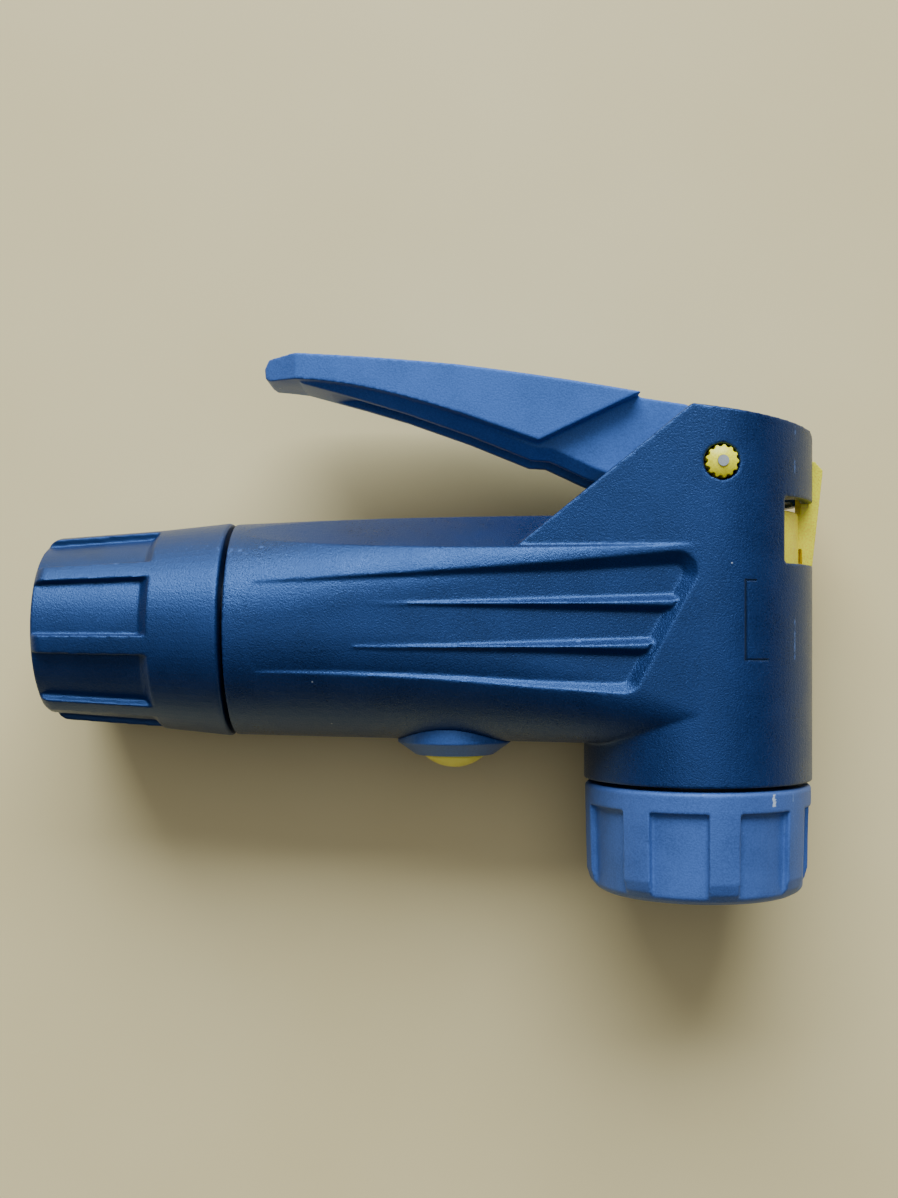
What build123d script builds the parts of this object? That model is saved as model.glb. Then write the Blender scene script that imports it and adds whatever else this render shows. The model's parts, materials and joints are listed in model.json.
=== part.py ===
"""Hand-held tyre inflator head: barrel with screw-on inlet, lever-locked valve port, bleed button."""
import os
from math import cos, pi, radians, sin

from build123d import *

os.makedirs("parts", exist_ok=True)

# ---------------------------------------------------------------------------------------------
# Driving dimensions, in millimetres.
# Distances along the barrel are measured from the valve axis (X), distances along the valve
# from the barrel axis (Y), and depths from the mid-plane that both axes lie in (Z).
# ---------------------------------------------------------------------------------------------
# Housing
barrel_end = -57.8          # inlet end face of the barrel
barrel_root = -1.5          # where the barrel blends into the valve body
barrel_end_r = 13.2
barrel_mid = -33.0          # the underside is round up to here and boxy beyond
mid_height = 27.6
mid_depth = 27.2
mid_top_corner = 9.2
mid_low_corner = 12.9
root_height = 27.9
root_depth = 28.2
root_corner = 4.2
shoulder_tilt = 62.0        # flat shoulders planed on the lever side of the barrel
shoulder_reach_end = 13.3   # barrel axis to the shoulder, at the inlet
shoulder_reach_root = 15.3
valve_body_r = 14.2
valve_body_low = -18.7
ear_front_low = (-27.9, 6.0)
ear_front_top = (-2.8, 26.3)
ear_back_top = (13.0, 24.2)
ear_depth_front = 24.1      # across both ears, at their front edge
ear_depth_back = 28.3       # where they run into the round valve body
slot_width = 12.6           # between the two ears
slot_back = 8.6
slot_floor = 14.45
window_low = 7.8
window_high = 15.7
tab_slot_width = 3.4
tab_slot_low = 4.7
valve_bore_r = 12.7
valve_bore_top = 16.2
core_bore_r = 10.0
core_bore_end = -24.0
air_passage_r = 1.8
pocket_depth = 1.4
pocket_slope = 50.0         # lean of the pocket's walls, in degrees
pocket_corner = 2.6
rib_slope = 40.0
witness_width = 0.25
witness_depth = 0.2

# Lever
pivot = (0.65, 19.45)
lever_travel = 75.0         # degrees from rest to the locked position
lever_lift = 2.6            # how far the cam pushes the plunger
neck_width = 11.8
plate_width = 17.0
plate_tip = -54.1
plate_top = 33.8
keel_chamfer = 1.4
channel_width = 6.4         # hollow in the underside of the lever
hub_r = 6.75
cam_rest = 3.85             # pivot to the flat of the cam at rest

# Pivot pin
pin_r = 1.5
pin_core_r = 0.65
pin_cap_r = 1.95
pin_cap_height = 4.5
pin_cap_lobes = 13
pin_seat_front = 10.45      # the front cap stands proud of the ear
pin_seat_rear = -9.45       # the rear cap is flush, so that the object lies flat

# Plunger and valve seal
plunger_top = pivot[1] - cam_rest - 0.1
pad_r = 8.4                 # raised pad that the cam presses on
carrier_r = 12.5            # drum that shows yellow through the window
carrier_high = 14.3
carrier_low = 7.4
stem_r = 7.3
stem_low = -20.8
tab_width = 3.0
tab_reach = 15.6            # rearmost point of the tab behind the valve axis
sleeve_r = 12.65
sleeve_bore_r = 7.5
sleeve_top = 4.6
spigot_r = 11.0
spigot_low = -28.6
gasket_r = 7.4
gasket_hole_r = 4.4
gasket_high = -22.0

# Valve cap
valve_cap_r = 14.05
valve_cap_high = -19.2
valve_cap_low = -32.65
port_r = 4.1                # passes a car-type valve stem
grip_count = 8

# Inlet cap
inlet_cap_high = -58.35
inlet_cap_low = -81.2
inlet_cap_rim_r = 13.35
inlet_cap_waist_r = 12.4
inlet_cap_end_r = 11.5
neck_r = 10.4
neck_low = -69.0
socket_r = 4.3              # tapping radius of the cartridge thread

# Bleed valve
bleed_x = -30.6
guard_r = 7.15
guard_face = -15.7
button_r = 3.75
button_dome_r = 5.6
button_apex = -17.35

running_gap = 0.1
o_ring_small = 0.75         # section radius

# ---------------------------------------------------------------------------------------------
# Datum: the object lies on its side on Z = 0, with its box centred over the origin.
# ---------------------------------------------------------------------------------------------
valve_x = -(inlet_cap_low + tab_reach) / 2
barrel_y = -(plate_top + valve_cap_low) / 2
axis_z = valve_body_r
barrel_axis = Axis((valve_x, barrel_y, axis_z), (1, 0, 0))
valve_axis = Axis((valve_x, barrel_y, axis_z), (0, 1, 0))


def side(depth=0.0):
    """Plane parallel to the mid-plane, in barrel and valve coordinates, facing +Z."""
    return Plane((valve_x, barrel_y, axis_z + depth))


def across_barrel(along):
    """Plane square to the barrel axis, facing +X, with local x along the valve."""
    return Plane((valve_x + along, barrel_y, axis_z), x_dir=(0, 1, 0), z_dir=(1, 0, 0))


def across_valve(along):
    """Plane square to the valve axis, facing -Y, with local x along the barrel."""
    return Plane((valve_x, barrel_y + along, axis_z), x_dir=(1, 0, 0), z_dir=(0, -1, 0))


def across_bleed(along):
    """Plane square to the bleed valve's axis, facing -Y."""
    return Plane((valve_x + bleed_x, barrel_y + along, axis_z), x_dir=(1, 0, 0), z_dir=(0, -1, 0))


def save(piece, name):
    """Labels a finished piece and writes it as its own STEP file."""
    piece.part.label = name
    export_step(piece.part, f"parts/{name}.step")


def tube_along_barrel(low, high, outer_r, inner_r=0.0):
    """Straight tube on the barrel axis."""
    with BuildPart() as tube:
        with BuildSketch(across_barrel(low)):
            Circle(outer_r)
            if inner_r:
                Circle(inner_r, mode=Mode.SUBTRACT)
        extrude(amount=high - low)
    return tube.part


def tube_along_valve(high, low, outer_r, inner_r=0.0, plane=across_valve):
    """Straight tube on the valve axis, or on the bleed valve's axis."""
    with BuildPart() as tube:
        with BuildSketch(plane(high)):
            Circle(outer_r)
            if inner_r:
                Circle(inner_r, mode=Mode.SUBTRACT)
        extrude(amount=high - low)
    return tube.part


def o_ring(centre_plane, mean_r, section_r=o_ring_small):
    """Rubber ring with a round section, lying in a plane."""
    with BuildPart() as ring:
        with BuildSketch(Plane(centre_plane.origin, x_dir=centre_plane.x_dir,
                               z_dir=centre_plane.y_dir)):
            with Locations((mean_r, 0)):
                Circle(section_r)
        revolve(axis=Axis(centre_plane.origin, centre_plane.z_dir))
    return ring


def coil_spring(base_plane, mean_r, length, turns, wire_r):
    """Open coil spring of round wire, standing on a plane."""
    with BuildPart() as spring:
        with BuildLine() as path:
            Helix(
                pitch=(length - 2 * wire_r) / turns,
                height=length - 2 * wire_r,
                radius=mean_r,
                center=base_plane.offset(wire_r).origin,
                direction=base_plane.z_dir,
            )
        with BuildSketch(Plane(path.line @ 0, z_dir=path.line % 0)):
            Circle(wire_r)
        sweep(path=path.line, is_frenet=True)
    return spring


def around(axis, cutter, count, first):
    """Copies of a solid spaced evenly round an axis."""
    return [cutter.rotate(axis, first + step * 360 / count) for step in range(count)]


# ---------------------------------------------------------------------------------------------
# Housing: one moulding with the barrel, the valve body and the two lever ears
# ---------------------------------------------------------------------------------------------
def shoulder(face):
    """Plane of the shoulder on the front (1) or back (-1) of the barrel, rising to the root."""
    outward = Vector(0, sin(radians(shoulder_tilt)), face * cos(radians(shoulder_tilt)))
    rise = (shoulder_reach_root - shoulder_reach_end) / (barrel_root - barrel_end)
    return Plane(
        origin=across_barrel(barrel_end).origin + outward * shoulder_reach_end,
        z_dir=outward - Vector(rise, 0, 0),
    )


def barrel_skin(shrink):
    """Barrel, round at the inlet and a soft box at the valve body; shrink thins it at the root."""
    mid_share = (barrel_mid - barrel_end) / (barrel_root - barrel_end)
    end_corner = barrel_end_r - 0.05
    sections = (
        (barrel_end, 2 * barrel_end_r, 2 * barrel_end_r, end_corner, end_corner),
        (barrel_mid, mid_height, mid_depth - 2 * shrink * mid_share, mid_top_corner, mid_low_corner),
        (barrel_root, root_height, root_depth - 2 * shrink, root_corner, root_corner),
    )
    with BuildPart() as skin:
        for along, height, depth, top_corner, low_corner in sections:
            with BuildSketch(across_barrel(along)):
                Rectangle(height, depth)
                fillet(vertices().sort_by(Axis.X)[-2:], top_corner)
                fillet(vertices().sort_by(Axis.X)[:2], low_corner)
        loft()
        for face in (1, -1):
            split(bisect_by=shoulder(face), keep=Keep.BOTTOM)
    return skin.part


barrel = barrel_skin(0)

# Both ears and the top of the valve body, cut to their outline as seen from the side
with BuildPart() as ears:
    with BuildSketch(across_valve(ear_front_top[1])):
        Circle(valve_body_r)
        Polygon(
            (ear_front_low[0], -ear_depth_front / 2),
            (-1.1, -ear_depth_back / 2),
            (-1.1, ear_depth_back / 2),
            (ear_front_low[0], ear_depth_front / 2),
            align=None,
        )
    extrude(amount=ear_front_top[1] - ear_front_low[1])
    with BuildSketch(side(-20)):
        with BuildLine():
            Polyline(
                ear_front_low,
                ear_front_top,
                ear_back_top,
                (15.0, ear_back_top[1] - 1.4),
                (15.0, ear_front_low[1]),
                close=True,
            )
        make_face()
    extrude(amount=40, mode=Mode.INTERSECT)
    fillet(ears.edges().group_by(Axis.Y)[-1], 0.6)

# Sculpted pocket on each side: an inclined band with two tapering ribs left standing in it
pocket_outline = (
    (-56.5, 7.8),
    (-46.0, 7.65),
    (-36.5, 7.75),
    (-27.0, 8.0),
    (-17.5, 8.35),
    (-0.1, 9.6),
    (-9.4, -8.1),
    (-22.0, -8.2),
    (-31.5, -7.9),
    (-56.5, -7.5),
)
rib_shapes = (
    ((-43.5, 2.9), (-3.7, 3.8), (-4.7, 2.1)),
    ((-42.5, -2.2), (-6.7, -1.3), (-7.7, -3.0)),
)

with BuildPart() as pocket:
    with BuildSketch(side(14.2)):
        with BuildLine():
            Polyline(*pocket_outline, close=True)
        make_face()
        fillet(vertices().sort_by(Axis.X)[-2:], pocket_corner)
    extrude(amount=-2.15, taper=pocket_slope)
    add(barrel_skin(pocket_depth), mode=Mode.SUBTRACT)
    for rib in rib_shapes:
        with BuildSketch(side(12.5)):
            with BuildLine():
                Polyline(*rib, close=True)
            make_face()
            offset(amount=0.45)
        extrude(amount=1.2, taper=rib_slope, mode=Mode.SUBTRACT)

# Shallow parting-line mark left by the mould on each side of the valve body
with BuildPart() as witness_mark:
    with BuildSketch(side(5)):
        with Locations((3.5, 1.0)):
            Rectangle(witness_width, 9.4)
        with Locations((4.1, 5.6)):
            Rectangle(1.4, witness_width)
        with Locations((4.9, -3.7)):
            Rectangle(2.9, witness_width)
    extrude(amount=15)
    add(tube_along_valve(12, -12, valve_body_r - witness_depth), mode=Mode.SUBTRACT)

with BuildPart() as housing:
    add(barrel)
    with BuildSketch(across_valve(10.0)):
        Circle(valve_body_r)
    extrude(amount=10.0 - valve_body_low)
    add(ears.part)
    add(pocket.part, mode=Mode.SUBTRACT)
    add(pocket.part.mirror(side()), mode=Mode.SUBTRACT)
    # lever slot, open at the front and the top
    with BuildSketch(side(-slot_width / 2)):
        with Locations(((slot_back - 40) / 2, slot_floor + 10)):
            Rectangle(slot_back + 40, 20)
    extrude(amount=slot_width, mode=Mode.SUBTRACT)
    # valve bore, from below
    add(tube_along_valve(valve_bore_top, valve_body_low - 1, valve_bore_r), mode=Mode.SUBTRACT)
    # core bore from the inlet end, and the air passage on to the valve
    add(tube_along_barrel(barrel_end - 1, core_bore_end, core_bore_r), mode=Mode.SUBTRACT)
    add(tube_along_barrel(core_bore_end - 1, -11.0, air_passage_r), mode=Mode.SUBTRACT)
    # window behind the plunger, through from side to side
    with BuildSketch(side(-20)):
        with Locations((slot_back + 5, (window_low + window_high) / 2)):
            Rectangle(10, window_high - window_low)
    extrude(amount=40, mode=Mode.SUBTRACT)
    # slot in the rear wall for the plunger's tab
    with BuildSketch(side(-tab_slot_width / 2)):
        with Locations((slot_back + 5, tab_slot_low + 15)):
            Rectangle(10, 30)
    extrude(amount=tab_slot_width, mode=Mode.SUBTRACT)
    # pivot hole through both ears, wider where the pin caps sit
    with BuildSketch(side(-20)):
        with Locations(pivot):
            Circle(1.55)
    extrude(amount=40, mode=Mode.SUBTRACT)
    for seat_depth, outward in ((pin_seat_front, 10), (pin_seat_rear, -10)):
        with BuildSketch(side(seat_depth)):
            with Locations(pivot):
                Circle(pin_cap_r + 0.15)
        extrude(amount=outward, mode=Mode.SUBTRACT)
    # hole for the bleed valve and its guard
    add(tube_along_valve(-8.0, -20.0, 5.2, plane=across_bleed), mode=Mode.SUBTRACT)
    add(witness_mark.part, mode=Mode.SUBTRACT)
    add(witness_mark.part.mirror(side()), mode=Mode.SUBTRACT)
save(housing, "housing")

# ---------------------------------------------------------------------------------------------
# Lever: wide thumb plate, narrower keel and neck, and a hub whose underside is the cam
# ---------------------------------------------------------------------------------------------
cam_rate = lever_lift / radians(lever_travel)     # plunger travel per radian of lever


def cam_point(lift):
    """Point of the cam that presses on the flat plunger once the lever has turned by lift."""
    height = cam_rest + cam_rate * lift
    facing = lift - pi / 2
    across = height * cos(facing) - cam_rate * sin(facing)
    up = height * sin(facing) + cam_rate * cos(facing)
    return (pivot[0] + across, pivot[1] + up)


cam_steps = 12
cam_curve = [cam_point(radians(lever_travel) * step / cam_steps) for step in range(cam_steps + 1)]
hub_top = (pivot[0], pivot[1] + hub_r)
hub_bend = (pivot[0] + hub_r * cos(radians(50)), pivot[1] + hub_r * sin(radians(50)))

with BuildPart() as lever_plate:
    with BuildSketch(side(-plate_width / 2)):
        with BuildLine():
            Spline((-53.4, 30.6), (-47.0, 30.3), (-40.8, 29.2), (-30.8, 26.3), (-20.4, 22.7))
            Line((-20.4, 22.7), (-8.0, 28.6))
            ThreePointArc((-8.0, 28.6), (-29.4, 31.8), (-50.2, plate_top))
            Polyline(
                (-50.2, plate_top),
                (plate_tip + 0.6, 33.3),
                (plate_tip, 32.2),
                (plate_tip + 0.1, 31.0),
                (-53.4, 30.6),
            )
        make_face()
    extrude(amount=plate_width)
    # narrower towards the tip, as seen from above
    with BuildSketch(across_valve(40)):
        with BuildLine():
            Polyline(
                (plate_tip, -3.6),
                (-50.0, -6.0),
                (-30.0, -plate_width / 2),
                (0, -plate_width / 2),
                (0, plate_width / 2),
                (-30.0, plate_width / 2),
                (-50.0, 6.0),
                (plate_tip, 3.6),
                close=True,
            )
        make_face()
    extrude(amount=30, mode=Mode.INTERSECT)

with BuildPart() as lever:
    with BuildSketch(side(-neck_width / 2)):
        with BuildLine():
            Spline(*cam_curve)
            ThreePointArc(cam_curve[-1], hub_bend, hub_top)
            Polyline(
                hub_top,
                (-2.3, 27.5),
                (-9.0, 28.5),
                (-49.5, 31.0),
                (-49.5, 30.3),
                (-42.0, 28.25),
                (-36.6, 26.65),
                (-28.6, 23.85),
                (-21.0, 20.8),
                (-18.9, 20.7),
                (-14.2, 18.5),
                (-6.5, pivot[1] - cam_rest),
                cam_curve[0],
            )
        make_face()
    extrude(amount=neck_width)
    lower_edges = [
        edge
        for edge in lever.edges().filter_by(Axis.Z, reverse=True)
        if -42.0 < edge.center().X - valve_x < -8.0 and edge.center().Y - barrel_y < 28.2
    ]
    chamfer(lower_edges, keel_chamfer)
    add(lever_plate.part)
    # channel that hollows the lever from below
    with BuildSketch(side(-channel_width / 2)):
        with BuildLine():
            Polyline(
                (-46.5, 20.0),
                (-46.5, 29.3),
                (-38.0, 29.6),
                (-14.5, 25.8),
                (-11.5, 22.5),
                (-11.5, 12.0),
                close=True,
            )
        make_face()
    extrude(amount=channel_width, mode=Mode.SUBTRACT)
    with BuildSketch(side(-20)):
        with Locations(pivot):
            Circle(1.55)
    extrude(amount=40, mode=Mode.SUBTRACT)
save(lever, "lever")

# ---------------------------------------------------------------------------------------------
# Pivot: steel pin with a splined, domed cap at each end
# ---------------------------------------------------------------------------------------------
core_proud = 0.08

with BuildPart() as lever_pin:
    with BuildSketch(side(pin_seat_rear)):
        with Locations(pivot):
            Circle(pin_r)
    extrude(amount=pin_seat_front - pin_seat_rear)
    pin_start = pin_seat_rear - pin_cap_height - core_proud
    pin_stop = pin_seat_front + pin_cap_height + core_proud
    with BuildSketch(side(pin_start)):
        with Locations(pivot):
            Circle(pin_core_r)
    extrude(amount=pin_stop - pin_start)
save(lever_pin, "lever_pin")


def pin_cap(seat_depth, outward):
    """Domed cap with splines round its edge, pressed on one end of the pin."""
    lobe_r = 0.25
    dome_r = 3.2
    with BuildPart() as cap:
        with BuildSketch(side(seat_depth + outward * 0.02)):
            with Locations(pivot):
                Circle(pin_cap_r - lobe_r)
                with PolarLocations(pin_cap_r - lobe_r, pin_cap_lobes):
                    Circle(lobe_r)
                Circle(pin_core_r + 0.01, mode=Mode.SUBTRACT)
        extrude(amount=outward * pin_cap_height)
        dome_plane = side(seat_depth + outward * (pin_cap_height - dome_r))
        with Locations(dome_plane.origin + Vector(*pivot)):
            Sphere(dome_r, mode=Mode.INTERSECT)
    return cap


save(pin_cap(pin_seat_front, 1), "pin_cap_front")
save(pin_cap(pin_seat_rear, -1), "pin_cap_rear")

# ---------------------------------------------------------------------------------------------
# Valve side: sleeve in the housing, plunger in the sleeve, gasket, washer and valve cap
# ---------------------------------------------------------------------------------------------
groove_half = 0.95
plunger_seal_heights = (2.5, -9.0)
sleeve_seal_heights = (3.3, -7.0)
port_height = -4.0
port_hole_r = 1.2


def cross_holes(height, reach, radius):
    """Two air holes that cross the valve axis at right angles."""
    with BuildPart() as holes:
        with BuildSketch(across_barrel(-reach)):
            with Locations((height, 0)):
                Circle(radius)
        extrude(amount=2 * reach)
        with BuildSketch(side(-reach)):
            with Locations((0, height)):
                Circle(radius)
        extrude(amount=2 * reach)
    return holes.part


with BuildPart() as valve_sleeve:
    add(tube_along_valve(sleeve_top, valve_body_low, sleeve_r))
    add(tube_along_valve(valve_body_low, spigot_low, spigot_r))
    add(tube_along_valve(sleeve_top + 1, spigot_low - 1, sleeve_bore_r), mode=Mode.SUBTRACT)
    # air gallery and seal grooves round the outside
    add(tube_along_valve(1.9, -5.4, sleeve_r + 1, spigot_r), mode=Mode.SUBTRACT)
    for height in sleeve_seal_heights:
        groove = tube_along_valve(height + groove_half, height - groove_half, sleeve_r + 1, 11.15)
        add(groove, mode=Mode.SUBTRACT)
    add(cross_holes(port_height, 12.0, port_hole_r), mode=Mode.SUBTRACT)
    # shallow rings stand for the thread on the spigot
    for ring in range(5):
        crest = -20.2 - 1.5 * ring
        groove = tube_along_valve(crest, crest - 0.7, spigot_r + 1, spigot_r - 0.4)
        add(groove, mode=Mode.SUBTRACT)
save(valve_sleeve, "valve_sleeve")

save(o_ring(across_valve(sleeve_seal_heights[0]), 11.92, 0.72), "sleeve_seal_upper")
save(o_ring(across_valve(sleeve_seal_heights[1]), 11.92, 0.72), "sleeve_seal_lower")

tab_root = 9.0
tab_foot = 10.0

with BuildPart() as plunger:
    add(tube_along_valve(plunger_top, carrier_high, pad_r))
    add(tube_along_valve(carrier_high, carrier_low, carrier_r))
    add(tube_along_valve(carrier_low, stem_low, stem_r))
    for height in plunger_seal_heights:
        groove = tube_along_valve(height + groove_half, height - groove_half, stem_r + 1, 5.9)
        add(groove, mode=Mode.SUBTRACT)
    add(tube_along_valve(-1.5, -6.5, stem_r + 1, 6.3), mode=Mode.SUBTRACT)
    add(tube_along_valve(-9.0, stem_low - 1, 4.4), mode=Mode.SUBTRACT)
    add(tube_along_valve(-2.5, -9.5, 2.2), mode=Mode.SUBTRACT)
    add(cross_holes(port_height, 7.0, port_hole_r), mode=Mode.SUBTRACT)
    # slot that the tab is pushed into from behind
    with BuildSketch(side(-tab_width / 2 - 0.02)):
        with Locations((tab_root + 4.95, tab_foot + 5)):
            Rectangle(10, 10)
    extrude(amount=tab_width + 0.04, mode=Mode.SUBTRACT)
save(plunger, "plunger")

# Yellow tab behind the plunger: shows through the rear wall how far the plunger is pressed
with BuildPart() as plunger_tab:
    with BuildSketch(side(-tab_width / 2)):
        with BuildLine():
            Polyline(
                (tab_root, tab_foot + 0.05),
                (tab_root, carrier_high),
                (12.7, carrier_high),
                (12.9, 20.8),
                (14.5, 21.1),
                (tab_reach, 19.9),
                (14.25, 7.9),
                (13.0, 7.9),
                (12.9, tab_foot + 0.05),
                close=True,
            )
        make_face()
        fillet(vertices().sort_by(Axis.Y)[-3:], 0.35)
    extrude(amount=tab_width)
save(plunger_tab, "plunger_tab")

save(o_ring(across_valve(plunger_seal_heights[0]), 6.7), "plunger_seal_upper")
save(o_ring(across_valve(plunger_seal_heights[1]), 6.7), "plunger_seal_lower")

# Perforated disc with a pin that opens the tyre valve's core
with BuildPart() as pin_depressor:
    add(tube_along_valve(-9.05, -10.2, 4.35))
    add(tube_along_valve(-10.2, -14.2, 0.9))
    with BuildSketch(across_valve(-8)):
        with PolarLocations(2.7, 4):
            Circle(0.9)
    extrude(amount=4, mode=Mode.SUBTRACT)
save(pin_depressor, "pin_depressor")

with BuildPart() as gasket_washer:
    add(tube_along_valve(stem_low - 0.1, gasket_high + 0.1, 7.35, 4.4))
save(gasket_washer, "gasket_washer")

cap_floor = spigot_low - 0.3

with BuildPart() as valve_gasket:
    add(tube_along_valve(gasket_high, cap_floor + 0.05, gasket_r, gasket_hole_r))
save(valve_gasket, "valve_gasket")


def grip_recesses(axis, profile, width, first):
    """Finger recesses round a cap: a profile swept through an arc and repeated round the axis."""
    with BuildPart() as recess:
        with BuildSketch(side()):
            with BuildLine():
                Polyline(*profile, close=True)
            make_face()
        revolve(axis=axis, revolution_arc=width)
    return around(axis, recess.part, grip_count, first)


valve_cap_band = -21.85      # lower edge of the plain rim band

with BuildPart() as valve_cap:
    with BuildSketch(side()):
        with BuildLine():
            Polyline(
                (11.1, valve_cap_high),
                (valve_cap_r - 0.35, valve_cap_high),
                (valve_cap_r, valve_cap_high - 0.35),
                (valve_cap_r, valve_cap_band),
                (13.85, -30.0),
                (13.45, -31.3),
                (12.7, -32.2),
                (11.9, valve_cap_low),
                (port_r + 0.7, valve_cap_low),
                (port_r, valve_cap_low + 0.7),
                (port_r, cap_floor),
                (11.1, cap_floor),
                close=True,
            )
        make_face()
    revolve(axis=valve_axis)
    cap_recess = (
        (13.3, valve_cap_band),
        (16.0, valve_cap_band + 0.4),
        (16.0, valve_cap_low - 1),
        (13.0, valve_cap_low - 1),
    )
    for cutter in grip_recesses(valve_axis, cap_recess, 29.5, 12.25):
        add(cutter, mode=Mode.SUBTRACT)
save(valve_cap, "valve_cap")

# ---------------------------------------------------------------------------------------------
# Inlet side: turning cap with the cartridge socket, and the core inside the barrel
# ---------------------------------------------------------------------------------------------
insert_low = -79.15
insert_shoulder = -71.2
nose_r = 5.0
nose_high = -64.6
seal_pocket = -71.6

with BuildPart() as inlet_cap:
    with BuildSketch(side()):
        with BuildLine():
            Polyline(
                (inlet_cap_low + 1.7, inlet_cap_end_r),
                (-67.5, inlet_cap_waist_r),
                (inlet_cap_high - 0.25, inlet_cap_rim_r),
                (inlet_cap_high, inlet_cap_rim_r - 0.25),
                (inlet_cap_high, neck_r + running_gap),
                (insert_shoulder, neck_r + running_gap),
                (insert_shoulder, 7.05),
                (insert_low - 0.05, 7.05),
                (insert_low - 0.05, 5.2),
                (inlet_cap_low + 0.5, 5.2),
                (inlet_cap_low, 5.7),
                (inlet_cap_low, inlet_cap_end_r - 1.7),
            )
            RadiusArc((inlet_cap_low, inlet_cap_end_r - 1.7),
                      (inlet_cap_low + 1.7, inlet_cap_end_r), 1.75)
        make_face()
    revolve(axis=barrel_axis)
    end_recess = (
        (-66.6, 12.7),
        (-67.9, 11.4),
        (inlet_cap_low - 1, 10.35),
        (inlet_cap_low - 1, 16.0),
        (-66.6, 16.0),
    )
    for cutter in grip_recesses(barrel_axis, end_recess, 34.0, 15.0):
        add(cutter, mode=Mode.SUBTRACT)
save(inlet_cap, "inlet_cap")

with BuildPart() as socket_insert:
    add(tube_along_barrel(insert_low, insert_shoulder + 0.05, 7.0))
    add(tube_along_barrel(insert_shoulder + 0.05, -69.4, 10.3))
    add(tube_along_barrel(-69.4, nose_high, nose_r))
    add(tube_along_barrel(insert_low - 1, seal_pocket, socket_r), mode=Mode.SUBTRACT)
    add(tube_along_barrel(seal_pocket - 1, -70.4, 4.0), mode=Mode.SUBTRACT)
    add(tube_along_barrel(-72, nose_high + 1, 2.4), mode=Mode.SUBTRACT)
    add(tube_along_barrel(-67.2, -66.0, nose_r + 1, 4.2), mode=Mode.SUBTRACT)
save(socket_insert, "socket_insert")

with BuildPart() as cartridge_seal:
    add(tube_along_barrel(-71.5, -70.45, 3.95, 2.4))
save(cartridge_seal, "cartridge_seal")

save(o_ring(across_barrel(-66.6), 4.65, 0.42), "nose_seal")

core_r = core_bore_r - 0.05
core_seal_places = (-25.9, -36.2)
core_stop = core_bore_end - 0.1

with BuildPart() as inlet_core:
    add(tube_along_barrel(neck_low, barrel_end - 0.05, neck_r))
    add(tube_along_barrel(barrel_end - 0.05, core_stop, core_r))
    add(tube_along_barrel(neck_low - 1, -58.1, 5.15), mode=Mode.SUBTRACT)
    add(tube_along_barrel(-59, -52.0, 4.0), mode=Mode.SUBTRACT)
    add(tube_along_barrel(-53, -45, 1.6), mode=Mode.SUBTRACT)
    add(tube_along_barrel(-46.0, core_stop + 1, 4.5), mode=Mode.SUBTRACT)
    for place in core_seal_places:
        groove = tube_along_barrel(place - groove_half, place + groove_half, core_r + 1, 8.45)
        add(groove, mode=Mode.SUBTRACT)
    add(tube_along_valve(0, -12, 3.45, plane=across_bleed), mode=Mode.SUBTRACT)
save(inlet_core, "inlet_core")

save(o_ring(across_barrel(core_seal_places[0]), 9.22, 0.72), "core_seal_front")
save(o_ring(across_barrel(core_seal_places[1]), 9.22, 0.72), "core_seal_rear")

# Hollow needle that opens the cartridge when the inlet cap is turned in
with BuildPart() as piercing_pin:
    add(tube_along_barrel(-57.9, -55.4, 3.95))
    add(tube_along_barrel(-69.4, -57.9, 2.0))
    with BuildSketch(side()):
        with BuildLine():
            Polyline((-69.4, 0), (-69.4, 2.0), (-71.3, 1.0), (-71.3, 0), close=True)
        make_face()
    revolve(axis=barrel_axis)
    add(tube_along_barrel(-72, -55, 0.7), mode=Mode.SUBTRACT)
save(piercing_pin, "piercing_pin")

with BuildPart() as filter_disc:
    add(tube_along_barrel(-55.3, -53.6, 3.95))
save(filter_disc, "filter_disc")

check_seat_face = -44.9
ball_r = 2.3
ball_x = check_seat_face + 1.57

with BuildPart() as check_seat:
    add(tube_along_barrel(-45.95, check_seat_face, 4.45, 1.7))
save(check_seat, "check_seat")

with BuildPart() as check_ball:
    with Locations(Location(across_barrel(ball_x).origin)):
        Sphere(ball_r)
save(check_ball, "check_ball")

spring_plate_x = -35.5
save(
    coil_spring(across_barrel(-41.3), 1.5, spring_plate_x + 41.25, 5, 0.2),
    "check_spring",
)

with BuildPart() as spring_plate:
    add(tube_along_barrel(spring_plate_x, spring_plate_x + 0.9, 4.45))
    with BuildSketch(across_barrel(spring_plate_x - 1)):
        with PolarLocations(2.9, 6):
            Circle(0.75)
    extrude(amount=3, mode=Mode.SUBTRACT)
save(spring_plate, "spring_plate")

# ---------------------------------------------------------------------------------------------
# Bleed valve in the underside of the barrel
# ---------------------------------------------------------------------------------------------
bush_face = -11.6
stem_end = -16.1

with BuildPart() as bleed_bush:
    add(tube_along_valve(-4.2, -10.05, 3.4, plane=across_bleed))
    add(tube_along_valve(-10.05, bush_face, 4.9, plane=across_bleed))
    add(tube_along_valve(-3, bush_face - 1, 1.3, plane=across_bleed), mode=Mode.SUBTRACT)
save(bleed_bush, "bleed_bush")

with BuildPart() as bleed_guard:
    with BuildSketch(side()):
        with BuildLine():
            Polyline(
                (bleed_x + 3.9, guard_face),
                (bleed_x + 4.9, guard_face),
                (bleed_x + guard_r, -14.1),
                (bleed_x + guard_r, -10.0),
                (bleed_x + 3.9, -10.0),
                close=True,
            )
        make_face()
    revolve(axis=Axis(across_bleed(0).origin, (0, 1, 0)))
    add(barrel, mode=Mode.SUBTRACT)
    add(tube_along_valve(bush_face - 0.05, guard_face + 0.6, 5.15, 3.9, plane=across_bleed))
save(bleed_guard, "bleed_guard")

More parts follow.
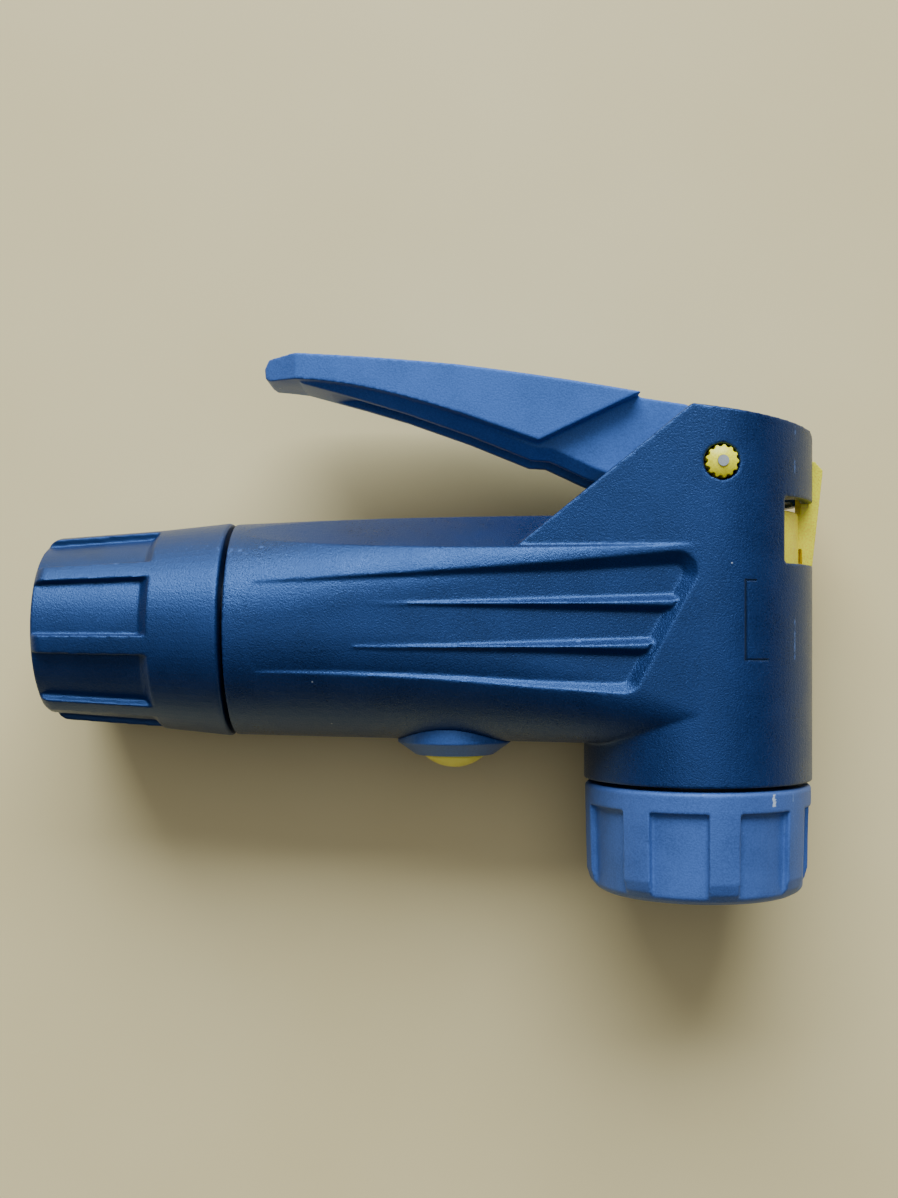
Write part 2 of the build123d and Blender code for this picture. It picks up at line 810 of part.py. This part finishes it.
with BuildPart() as bleed_button:
    add(tube_along_valve(-13.2, -18.0, button_r, plane=across_bleed))
    with Locations(Location(across_bleed(button_apex + button_dome_r).origin)):
        Sphere(button_dome_r, mode=Mode.INTERSECT)
    add(tube_along_valve(-13.0, -15.0, 2.9, plane=across_bleed), mode=Mode.SUBTRACT)
    add(tube_along_valve(-14.0, stem_end - 0.05, 1.12, plane=across_bleed), mode=Mode.SUBTRACT)
save(bleed_button, "bleed_button")

with BuildPart() as bleed_stem:
    add(tube_along_valve(-2.35, -3.35, 2.3, plane=across_bleed))
    add(tube_along_valve(-3.35, stem_end, 1.1, plane=across_bleed))
save(bleed_stem, "bleed_stem")

save(o_ring(across_bleed(-3.76), 1.6, 0.38), "bleed_seal")
save(coil_spring(across_bleed(bush_face - 0.05), 2.3, 3.25, 3, 0.22), "bleed_spring")
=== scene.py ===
import json

import bmesh
import bpy
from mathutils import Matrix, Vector


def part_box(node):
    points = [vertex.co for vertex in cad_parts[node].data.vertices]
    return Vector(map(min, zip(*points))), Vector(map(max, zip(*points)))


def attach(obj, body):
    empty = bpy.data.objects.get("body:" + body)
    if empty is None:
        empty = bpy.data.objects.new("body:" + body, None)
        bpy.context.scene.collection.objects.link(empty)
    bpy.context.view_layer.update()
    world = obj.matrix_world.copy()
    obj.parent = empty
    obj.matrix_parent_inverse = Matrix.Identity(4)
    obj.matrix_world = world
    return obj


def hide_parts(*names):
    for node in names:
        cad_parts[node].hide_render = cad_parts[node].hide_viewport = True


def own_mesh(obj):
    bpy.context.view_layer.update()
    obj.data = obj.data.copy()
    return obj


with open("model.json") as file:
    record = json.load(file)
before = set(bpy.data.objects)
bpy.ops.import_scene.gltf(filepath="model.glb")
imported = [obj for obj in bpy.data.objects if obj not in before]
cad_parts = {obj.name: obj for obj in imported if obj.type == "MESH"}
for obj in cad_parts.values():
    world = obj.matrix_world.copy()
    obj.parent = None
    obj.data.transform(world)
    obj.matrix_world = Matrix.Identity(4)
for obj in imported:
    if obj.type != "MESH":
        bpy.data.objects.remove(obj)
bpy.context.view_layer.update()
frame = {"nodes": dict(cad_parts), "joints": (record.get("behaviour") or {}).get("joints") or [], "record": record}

MM = 0.001

# Camera and stage
SENSOR_WIDTH = 36.0
LENS = 42.07
LENS_SHIFT = (-0.0142, 0.0367)
CAMERA_FROM_DATUM = Vector((-29.16, -1.71, 177.0)) * MM
FLOOR_HALF = 1.5

# Moulded plastic: noise scales are per millimetre
GRAIN_SCALE = 4.4
GRAIN_DEPTH = 0.08 * MM
BLOTCH_SCALE = 0.16
# Size of the patches in which convex edges are lightened, partly as wear and partly as painted highlight
EDGE_PATCH_SCALE = 0.9
EDGE_START = 0.60
EDGE_FULL = 0.70
PLASTIC_IOR = 1.57
DUST_COLOUR = (0.45, 0.45, 0.43)
NICK_COLOUR = (0.62, 0.66, 0.70)
WELD_DISTANCE = 0.001 * MM

nodes = frame["nodes"]
slots = {entry["node"]: entry["material_slot"] for entry in frame["record"]["subparts"]}
bodies = {
    node: body
    for body, members in frame["record"]["behaviour"]["bodies"].items()
    for node in members
}
joints = {joint["name"]: joint for joint in frame["joints"]}
valve_point = Vector(joints["valve_cap_turn"]["pos_m"])
barrel_point = Vector(joints["inlet_cap_turn"]["pos_m"])
datum = Vector((valve_point.x, barrel_point.y, valve_point.z))


# ---------------------------------------------------------------------------------------------
# Camera, floor and lights
# ---------------------------------------------------------------------------------------------
def aim(thing, target):
    """Turns a light or camera so that it looks at a point."""
    thing.rotation_euler = (Vector(target) - thing.location).to_track_quat("-Z", "Y").to_euler()


def make_camera():
    """Camera looking straight down, left of the valve."""
    data = bpy.data.cameras.new("camera")
    data.sensor_width = SENSOR_WIDTH
    data.lens = LENS
    data.shift_x, data.shift_y = LENS_SHIFT
    data.clip_start = 0.01
    camera = bpy.data.objects.new("camera", data)
    camera.location = datum + CAMERA_FROM_DATUM
    bpy.context.scene.collection.objects.link(camera)
    bpy.context.scene.camera = camera


def make_area_light(name, offset, size, power, colour):
    """Soft rectangular light aimed at the object."""
    data = bpy.data.lights.new(name, "AREA")
    data.shape = "RECTANGLE"
    data.size, data.size_y = size
    data.energy = power
    data.color = colour
    light = bpy.data.objects.new(name, data)
    light.location = Vector(offset)
    bpy.context.scene.collection.objects.link(light)
    aim(light, (0, 0, datum.z))


def make_floor():
    """Plain pale floor under the object."""
    mesh = bpy.data.meshes.new("floor")
    outline = bmesh.new()
    signs = ((-1, -1), (1, -1), (1, 1), (-1, 1))
    outline.faces.new([outline.verts.new((x * FLOOR_HALF, y * FLOOR_HALF, 0)) for x, y in signs])
    outline.to_mesh(mesh)
    outline.free()
    floor = bpy.data.objects.new("floor", mesh)
    bpy.context.scene.collection.objects.link(floor)
    floor.data.materials.append(floor_material())


# ---------------------------------------------------------------------------------------------
# Materials
# ---------------------------------------------------------------------------------------------
def new_material(name):
    """Material with an empty shader, its node tree and its main shader node."""
    material = bpy.data.materials.new(name)
    material.use_nodes = True
    tree = material.node_tree
    shader = tree.nodes["Principled BSDF"]
    return material, tree, shader


def add_node(tree, kind, inputs=None, **settings):
    """Adds a node, sets its properties, and sets or links its inputs."""
    made = tree.nodes.new(kind)
    for key, value in settings.items():
        setattr(made, key, value)
    for key, value in (inputs or {}).items():
        if isinstance(value, bpy.types.NodeSocket):
            tree.links.new(value, made.inputs[key])
        else:
            made.inputs[key].default_value = value
    return made


def vector_math(tree, operation, first, second):
    """One step of vector arithmetic."""
    return add_node(
        tree, "ShaderNodeVectorMath", {0: first, 1: second}, operation=operation
    ).outputs[0]


def millimetres(tree):
    """Place on the piece, in millimetres."""
    place = add_node(tree, "ShaderNodeTexCoord").outputs["Object"]
    return vector_math(tree, "MULTIPLY", place, (1 / MM, 1 / MM, 1 / MM))


def stretched(tree, place, scale):
    """Place with each axis scaled on its own, for marks that run one way."""
    return vector_math(tree, "MULTIPLY", place, scale)


def noise(tree, place, scale, detail=2.0, rough=0.5):
    """Cloudy noise, with features about 1/scale millimetres wide."""
    return add_node(
        tree,
        "ShaderNodeTexNoise",
        {"Vector": place, "Scale": scale, "Detail": detail, "Roughness": rough},
    ).outputs["Fac"]


def remap(tree, value, low, high, to_low=0.0, to_high=1.0):
    """Straight remap of a value, clamped to its new range."""
    return add_node(
        tree,
        "ShaderNodeMapRange",
        {"Value": value, "From Min": low, "From Max": high, "To Min": to_low, "To Max": to_high},
    ).outputs["Result"]


def math(tree, operation, first, second=0.0):
    """One arithmetic step."""
    return add_node(tree, "ShaderNodeMath", {0: first, 1: second}, operation=operation).outputs[0]


def mix_colour(tree, factor, first, second):
    """Blend of two colours."""
    return add_node(
        tree, "ShaderNodeMix", {0: factor, 6: first, 7: second}, data_type="RGBA"
    ).outputs[2]


def opaque(colour, gain=1.0):
    """Colour with its brightness scaled and a full alpha."""
    return (colour[0] * gain, colour[1] * gain, colour[2] * gain, 1.0)


def edge_mask(tree):
    """1 on convex edges and 0 on flat or hollow surface."""
    pointed = add_node(tree, "ShaderNodeNewGeometry").outputs["Pointiness"]
    return remap(tree, pointed, EDGE_START, EDGE_FULL)


def specks(tree, place, scale, size, share):
    """Sparse round dots, such as dust and moulding nibs."""
    cells = add_node(
        tree, "ShaderNodeTexVoronoi", {"Vector": place, "Scale": scale, "Randomness": 1.0}
    )
    dot = remap(tree, cells.outputs["Distance"], size, size * 0.5)
    lottery = add_node(
        tree, "ShaderNodeSeparateColor", {"Color": cells.outputs["Color"]}
    ).outputs["Red"]
    chosen = math(tree, "LESS_THAN", lottery, share)
    return math(tree, "MULTIPLY", dot, chosen)


def bar_mask(tree, local, centre, half, edge):
    """1 inside an upright bar in the X-Y plane, fading to 0 over its edge, all in millimetres."""
    parts = add_node(tree, "ShaderNodeSeparateXYZ", {"Vector": local})
    gaps = []
    for axis, middle, reach in zip("XY", centre, half):
        away = math(tree, "ABSOLUTE", math(tree, "SUBTRACT", parts.outputs[axis], middle))
        gaps.append(math(tree, "SUBTRACT", away, reach))
    return remap(tree, math(tree, "MAXIMUM", *gaps), 0.0, edge, 1.0, 0.0)


def from_datum(tree, place):
    """Place measured from where the barrel and valve axes cross, in millimetres."""
    return vector_math(tree, "SUBTRACT", place, datum / MM)


def witness_mark(tree, place):
    """Bracket-shaped parting mark of the mould on the sides of the valve body, cut in by bump and darkened in
    colour as painted shade in its groove.
    """
    local = from_datum(tree, place)
    spine = bar_mask(tree, local, (3.5, 1.0), (0.07, 4.7), 0.10)
    top = bar_mask(tree, local, (4.1, 5.6), (0.7, 0.07), 0.10)
    foot = bar_mask(tree, local, (4.9, -3.7), (1.45, 0.07), 0.10)
    return math(tree, "MAXIMUM", spine, math(tree, "MAXIMUM", top, foot))


def rim_nick(tree, place):
    """Ragged pale nick across the rim of the valve cap."""
    local = from_datum(tree, place)
    wander = math(tree, "MULTIPLY", noise(tree, place, 2.5, 3.0), 0.9)
    sideways = add_node(tree, "ShaderNodeCombineXYZ", {"X": wander}).outputs[0]
    ragged = vector_math(tree, "ADD", local, sideways)
    upright = bar_mask(tree, ragged, (7.6, -20.3), (0.10, 0.65), 0.12)
    height = add_node(tree, "ShaderNodeSeparateXYZ", {"Vector": local}).outputs["Z"]
    return math(tree, "MULTIPLY", upright, math(tree, "GREATER_THAN", height, 0.0))


def grained_plastic(
    name,
    colour,
    roughness,
    wear_and_highlight_colour,
    grain=1.0,
    dust=0.03,
    tint=None,
    engraved=None,
    nicked=None,
):
    """Satin plastic out of a spark-eroded mould: fine grain, faint blotches, dust, and convex edges lightened in
    colour, partly as rubbed wear and partly as a painted edge highlight.

    tint colours the sheen; engraved and nicked are masks for a moulded mark and for damage. The moulded mark is
    cut in by bump and also darkened in colour as painted shade in its groove.
    """
    material, tree, shader = new_material(name)
    place = millimetres(tree)
    fine = noise(tree, place, GRAIN_SCALE, 3.0, 0.6)
    broad = noise(tree, place, BLOTCH_SCALE, 2.0)
    blotch = remap(tree, broad, 0.35, 0.65, 0.0, 1.0)
    tone = mix_colour(tree, blotch, opaque(colour, 0.86), opaque(colour, 1.16))
    pits = remap(tree, fine, 0.38, 0.62)
    tone = mix_colour(tree, math(tree, "MULTIPLY", pits, 0.35), tone, opaque(colour, 1.9))
    # Convex edges are lightened in patches: partly rubbed wear, partly a painted edge highlight.
    patchy = remap(tree, noise(tree, place, EDGE_PATCH_SCALE, 3.0), 0.4, 0.62)
    edge_wear_and_highlight = math(tree, "MULTIPLY", edge_mask(tree), patchy)
    tone = mix_colour(tree, math(tree, "MULTIPLY", edge_wear_and_highlight, 0.7), tone, opaque(wear_and_highlight_colour))
    dots = specks(tree, place, 0.55, 0.07, dust)
    tone = mix_colour(tree, dots, tone, opaque(DUST_COLOUR))
    if engraved:
        # Painted shade: the mark's groove is darkened in colour, on top of the bump groove below.
        groove = math(tree, "MULTIPLY", engraved(tree, place), 0.8)
        tone = mix_colour(tree, groove, tone, opaque(colour, 0.1))
    if nicked:
        tone = mix_colour(tree, nicked(tree, place), tone, opaque(NICK_COLOUR))
    tree.links.new(tone, shader.inputs["Base Color"])
    gloss = remap(tree, broad, 0.3, 0.7, roughness - 0.05, roughness + 0.05)
    sparkle = remap(tree, fine, 0.35, 0.65, -0.05 * grain, 0.05 * grain)
    gloss = math(tree, "ADD", gloss, sparkle)
    gloss = math(tree, "SUBTRACT", gloss, math(tree, "MULTIPLY", edge_wear_and_highlight, 0.08))
    tree.links.new(gloss, shader.inputs["Roughness"])
    shader.inputs["Specular Tint"].default_value = opaque(tint or (1, 1, 1))
    shader.inputs["Specular IOR Level"].default_value = 1.0 if tint else 0.35
    shader.inputs["IOR"].default_value = PLASTIC_IOR
    finest = math(tree, "MULTIPLY", noise(tree, place, 9.0, 1.0), 0.4)
    relief = math(tree, "ADD", fine, finest)
    if engraved:
        groove = math(tree, "MULTIPLY", engraved(tree, place), 3.0)
        relief = math(tree, "SUBTRACT", relief, groove)
    bump = add_node(
        tree,
        "ShaderNodeBump",
        {"Strength": 0.55 * grain, "Distance": GRAIN_DEPTH, "Height": relief},
    )
    tree.links.new(bump.outputs["Normal"], shader.inputs["Normal"])
    return material


def machined_metal(name, colour, roughness, along):
    """Turned or drawn metal, with fine tool lines along one direction and dull patches."""
    material, tree, shader = new_material(name)
    place = millimetres(tree)
    lines = noise(tree, stretched(tree, place, along), 1.0, 3.0, 0.6)
    patches = noise(tree, place, 0.5, 3.0)
    tone = mix_colour(tree, remap(tree, patches, 0.35, 0.7), opaque(colour), opaque(colour, 0.72))
    tree.links.new(tone, shader.inputs["Base Color"])
    shader.inputs["Metallic"].default_value = 1.0
    tree.links.new(
        remap(tree, lines, 0.3, 0.7, roughness - 0.08, roughness + 0.10), shader.inputs["Roughness"]
    )
    bump = add_node(
        tree, "ShaderNodeBump", {"Strength": 0.35, "Distance": 0.02 * MM, "Height": lines}
    )
    tree.links.new(bump.outputs["Normal"], shader.inputs["Normal"])
    return material


def rubber_material(name):
    """Matt black nitrile rubber with a bloomed, slightly uneven surface."""
    material, tree, shader = new_material(name)
    place = millimetres(tree)
    bloom = noise(tree, place, 1.2, 4.0, 0.6)
    deep = opaque((0.012, 0.012, 0.013))
    dull = opaque((0.045, 0.045, 0.047))
    tone = mix_colour(tree, remap(tree, bloom, 0.35, 0.7), deep, dull)
    tree.links.new(tone, shader.inputs["Base Color"])
    tree.links.new(remap(tree, bloom, 0.3, 0.7, 0.6, 0.8), shader.inputs["Roughness"])
    bump = add_node(
        tree,
        "ShaderNodeBump",
        {"Strength": 0.4, "Distance": 0.04 * MM, "Height": noise(tree, place, 6.0, 2.0)},
    )
    tree.links.new(bump.outputs["Normal"], shader.inputs["Normal"])
    return material


def floor_material():
    """Plain pale matt floor with a barely visible mottle."""
    material, tree, shader = new_material("pale_floor")
    place = millimetres(tree)
    mottle = remap(tree, noise(tree, place, 0.02, 4.0), 0.3, 0.7)
    tone = mix_colour(tree, mottle, opaque((0.92, 0.67, 0.29)), opaque((0.97, 0.72, 0.33)))
    tree.links.new(tone, shader.inputs["Base Color"])
    shader.inputs["Roughness"].default_value = 0.6
    return material


def make_materials():
    """One material for each slot of the record."""
    black = (0.007, 0.017, 0.060)
    slate = (0.050, 0.104, 0.290)
    cap_slate = (0.056, 0.104, 0.275)
    # Edge colours: partly rubbed wear and partly painted edge highlight.
    black_wear_and_highlight = (0.075, 0.150, 0.380)
    slate_wear_and_highlight = (0.19, 0.29, 0.54)
    dark_grey = (0.030, 0.032, 0.035)
    yellow = (1.0, 0.80, 0.022)
    lemon = (1.0, 0.86, 0.10)
    yellow_wear_and_highlight = (1.0, 0.88, 0.16)
    navy = (0.23, 0.46, 1.0)
    drawn = (14.0, 14.0, 0.6)
    turned_x = (14.0, 0.8, 0.8)
    turned_y = (0.8, 14.0, 0.8)
    return {
        "housing_black": grained_plastic(
            "housing_black", black, 0.35, black_wear_and_highlight, 1.4, tint=navy, engraved=witness_mark
        ),
        "inlet_cap_black": grained_plastic(
            "inlet_cap_black", black, 0.38, black_wear_and_highlight, 1.1, tint=navy
        ),
        "lever_grey": grained_plastic("lever_grey", slate, 0.50, slate_wear_and_highlight, 0.8, tint=navy),
        "valve_cap_grey": grained_plastic(
            "valve_cap_grey", cap_slate, 0.48, slate_wear_and_highlight, 0.8, tint=navy, nicked=rim_nick
        ),
        "guard_grey": grained_plastic("guard_grey", slate, 0.42, slate_wear_and_highlight, 0.4, tint=navy),
        "sleeve_grey": grained_plastic("sleeve_grey", dark_grey, 0.45, slate_wear_and_highlight, 0.3),
        "cap_yellow": grained_plastic("cap_yellow", yellow, 0.32, yellow_wear_and_highlight, 0.3, 0.0),
        "plunger_yellow": grained_plastic("plunger_yellow", yellow, 0.42, yellow_wear_and_highlight, 0.4, 0.01),
        "button_yellow": grained_plastic("button_yellow", lemon, 0.40, yellow_wear_and_highlight, 0.4, 0.0),
        "seal_rubber": rubber_material("seal_rubber"),
        "pin_steel": machined_metal("pin_steel", (0.62, 0.62, 0.60), 0.30, drawn),
        "brass": machined_metal("brass", (0.72, 0.50, 0.20), 0.30, turned_x),
        "bronze_filter": machined_metal("bronze_filter", (0.42, 0.28, 0.14), 0.55, turned_y),
        "core_aluminium": machined_metal("core_aluminium", (0.035, 0.037, 0.042), 0.38, turned_x),
    }


# ---------------------------------------------------------------------------------------------
# Pieces
# ---------------------------------------------------------------------------------------------
def moulded_skin(node, voxel, soften):
    """Even, dense mesh over a CAD piece, with its corners rounded as a mould leaves them."""
    mesh = nodes[node].data.copy()
    joined = bmesh.new()
    joined.from_mesh(mesh)
    bmesh.ops.remove_doubles(joined, verts=joined.verts, dist=WELD_DISTANCE)
    joined.to_mesh(mesh)
    joined.free()
    rough = bpy.data.objects.new("rough", mesh)
    bpy.context.scene.collection.objects.link(rough)
    remesh = rough.modifiers.new("even", "REMESH")
    remesh.mode = "VOXEL"
    remesh.voxel_size = voxel * MM
    smooth = rough.modifiers.new("soften", "SMOOTH")
    smooth.factor = 0.5
    smooth.iterations = soften
    evaluated = rough.evaluated_get(bpy.context.evaluated_depsgraph_get())
    finished = bpy.data.meshes.new_from_object(evaluated)
    bpy.data.objects.remove(rough)
    for polygon in finished.polygons:
        polygon.use_smooth = True
    skin = bpy.data.objects.new(f"{node}_skin", finished)
    bpy.context.scene.collection.objects.link(skin)
    declare(skin, node)


def declare(piece, node):
    """Gives a visual piece the finish, the body and the place of its CAD node."""
    piece.data.materials.clear()
    piece.data.materials.append(materials[slots[node]])
    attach(piece, bodies[node])
    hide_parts(node)


def springy_copy(entry):
    """Copy of a rubber or wire piece with the finish and body of its CAD node; the point of its fixed end is
    worked out, but the copy is not made to shorten.
    """
    node = entry["node"]
    piece = bpy.data.objects.new(f"{node}_soft", nodes[node].data.copy())
    bpy.context.scene.collection.objects.link(piece)
    declare(piece, node)
    low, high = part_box(node)
    along = 0 if "fixed_end_x_m" in entry else 1
    anchor = (Vector(low) + Vector(high)) / 2
    anchor[along] = entry["fixed_end_x_m"] if along == 0 else entry["fixed_end_y_m"]
    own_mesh(piece)


make_camera()
make_area_light("window", (-0.05, 1.20, 0.84), (1.5, 0.8), 49.0, (0.66, 0.81, 1.0))
make_area_light("ceiling", (-0.10, 0.30, 1.40), (1.6, 1.6), 7.0, (0.78, 0.88, 1.0))
make_floor()
world = bpy.data.worlds.new("room")
world.use_nodes = True
world.node_tree.nodes["Background"].inputs["Color"].default_value = (0.72, 0.84, 1.0, 1.0)
world.node_tree.nodes["Background"].inputs["Strength"].default_value = 0.07
bpy.context.scene.world = world

materials = make_materials()
for node, cad_object in nodes.items():
    cad_object.data.materials.clear()
    cad_object.data.materials.append(materials[slots[node]])

# Voxel size in millimetres and smoothing passes of each moulded piece
skin_plan = {
    "housing": (0.17, 6),
    "lever": (0.16, 3),
    "valve_cap": (0.18, 3),
    "inlet_cap": (0.18, 3),
    "bleed_guard": (0.10, 2),
    "bleed_button": (0.08, 2),
    "plunger": (0.20, 2),
    "plunger_tab": (0.10, 2),
    "pin_cap_front": (0.05, 2),
    "pin_cap_rear": (0.05, 2),
}
for node, (voxel, soften) in skin_plan.items():
    moulded_skin(node, voxel, soften)
for joint in frame["record"]["behaviour"]["joints"]:
    for entry in joint.get("deforming_nodes", []):
        springy_copy(entry)
